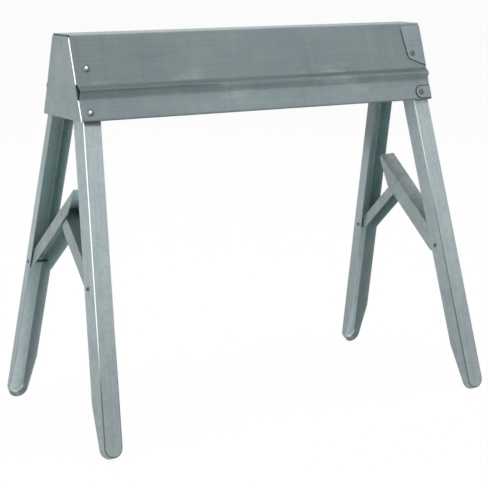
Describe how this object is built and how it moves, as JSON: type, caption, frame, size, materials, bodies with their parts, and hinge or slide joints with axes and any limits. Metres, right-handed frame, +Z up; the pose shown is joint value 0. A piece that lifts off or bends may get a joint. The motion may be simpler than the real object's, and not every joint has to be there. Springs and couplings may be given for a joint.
{
  "type": "builders trestle",
  "caption": "Folding pressed-steel trestle: a ribbed box beam on splayed channel legs, held open by hinged two-piece braces at each end.",
  "frame": {"origin": "floor level under the middle of the beam", "axes": "+X along the beam to its right end seen from the front, -Y is the front, +Z up"},
  "size_m": [0.8082, 0.4344, 0.692],
  "materials": {
    "beam_sheet": "galvanised, spangled",
    "leg_sheet": "galvanised, satin",
    "brace_sheet": "galvanised, satin",
    "strap_steel": "galvanised, dull",
    "rivet_steel": "plated",
    "pin_steel": "dull"
  },
  "bodies": {
    "beam": {"beam_front_shell": "beam_sheet", "beam_back_shell": "beam_sheet", "seam_rivets": "rivet_steel", "front_left_hinge_strap": "strap_steel", "back_left_hinge_strap": "strap_steel", "front_right_hinge_strap": "strap_steel", "back_right_hinge_strap": "strap_steel", "front_left_corner_rivets": "rivet_steel", "back_left_corner_rivets": "rivet_steel", "front_right_corner_rivets": "rivet_steel", "back_right_corner_rivets": "rivet_steel"},
    "front_left_leg": {"front_left_leg": "leg_sheet", "front_left_hinge_pin": "pin_steel", "left_short_pivot_rivets": "pin_steel"},
    "back_left_leg": {"back_left_leg": "leg_sheet", "back_left_hinge_pin": "pin_steel", "left_long_pivot_pin": "pin_steel"},
    "front_right_leg": {"front_right_leg": "leg_sheet", "front_right_hinge_pin": "pin_steel", "right_long_pivot_pin": "pin_steel"},
    "back_right_leg": {"back_right_leg": "leg_sheet", "back_right_hinge_pin": "pin_steel", "right_short_pivot_rivets": "pin_steel"},
    "left_long_brace": {"left_long_brace": "brace_sheet", "left_knee_pin": "pin_steel"},
    "left_short_brace": {"left_short_brace": "brace_sheet"},
    "right_long_brace": {"right_long_brace": "brace_sheet", "right_knee_pin": "pin_steel"},
    "right_short_brace": {"right_short_brace": "brace_sheet"}
  },
  "joints": [
    {"name": "left_fold", "type": "hinge", "parent": "beam", "child": "back_left_leg", "pos_m": [-0.3423, 0.059, 0.598], "axis": [-0.9973, 0, 0.0732], "range_deg": [0, 14]},
    {"name": "front_left_leg_fold", "type": "hinge", "parent": "beam", "child": "front_left_leg", "pos_m": [-0.3423, -0.059, 0.598], "axis": [-0.9973, 0, 0.0732], "range_deg": [-14, 0]},
    {"name": "left_long_brace_pivot", "type": "hinge", "parent": "back_left_leg", "child": "left_long_brace", "pos_m": [-0.36605, 0.1276, 0.27464], "axis": [-0.9973, 0, 0.0732], "range_deg": [0, 19.75]},
    {"name": "left_knee", "type": "hinge", "parent": "left_long_brace", "child": "left_short_brace", "pos_m": [-0.35827, 0, 0.38053], "axis": [-0.9973, 0, 0.0732], "range_deg": [-67.5, 0]},
    {"name": "right_fold", "type": "hinge", "parent": "beam", "child": "front_right_leg", "pos_m": [0.3423, -0.059, 0.598], "axis": [0.9973, 0, 0.0732], "range_deg": [0, 14]},
    {"name": "back_right_leg_fold", "type": "hinge", "parent": "beam", "child": "back_right_leg", "pos_m": [0.3423, 0.059, 0.598], "axis": [0.9973, 0, 0.0732], "range_deg": [-14, 0]},
    {"name": "right_long_brace_pivot", "type": "hinge", "parent": "front_right_leg", "child": "right_long_brace", "pos_m": [0.36605, -0.1276, 0.27464], "axis": [0.9973, 0, 0.0732], "range_deg": [0, 19.75]},
    {"name": "right_knee", "type": "hinge", "parent": "right_long_brace", "child": "right_short_brace", "pos_m": [0.35827, 0, 0.38053], "axis": [0.9973, 0, 0.0732], "range_deg": [-67.5, 0]}
  ],
  "couplings": [
    {"joint": "front_left_leg_fold", "follows": "left_fold", "ratio": -1},
    {"joint": "left_long_brace_pivot", "follows": "left_fold", "ratio": 1.4102},
    {"joint": "left_knee", "follows": "left_fold", "ratio": -4.8205},
    {"joint": "back_right_leg_fold", "follows": "right_fold", "ratio": -1},
    {"joint": "right_long_brace_pivot", "follows": "right_fold", "ratio": 1.4102},
    {"joint": "right_knee", "follows": "right_fold", "ratio": -4.8205}
  ]
}
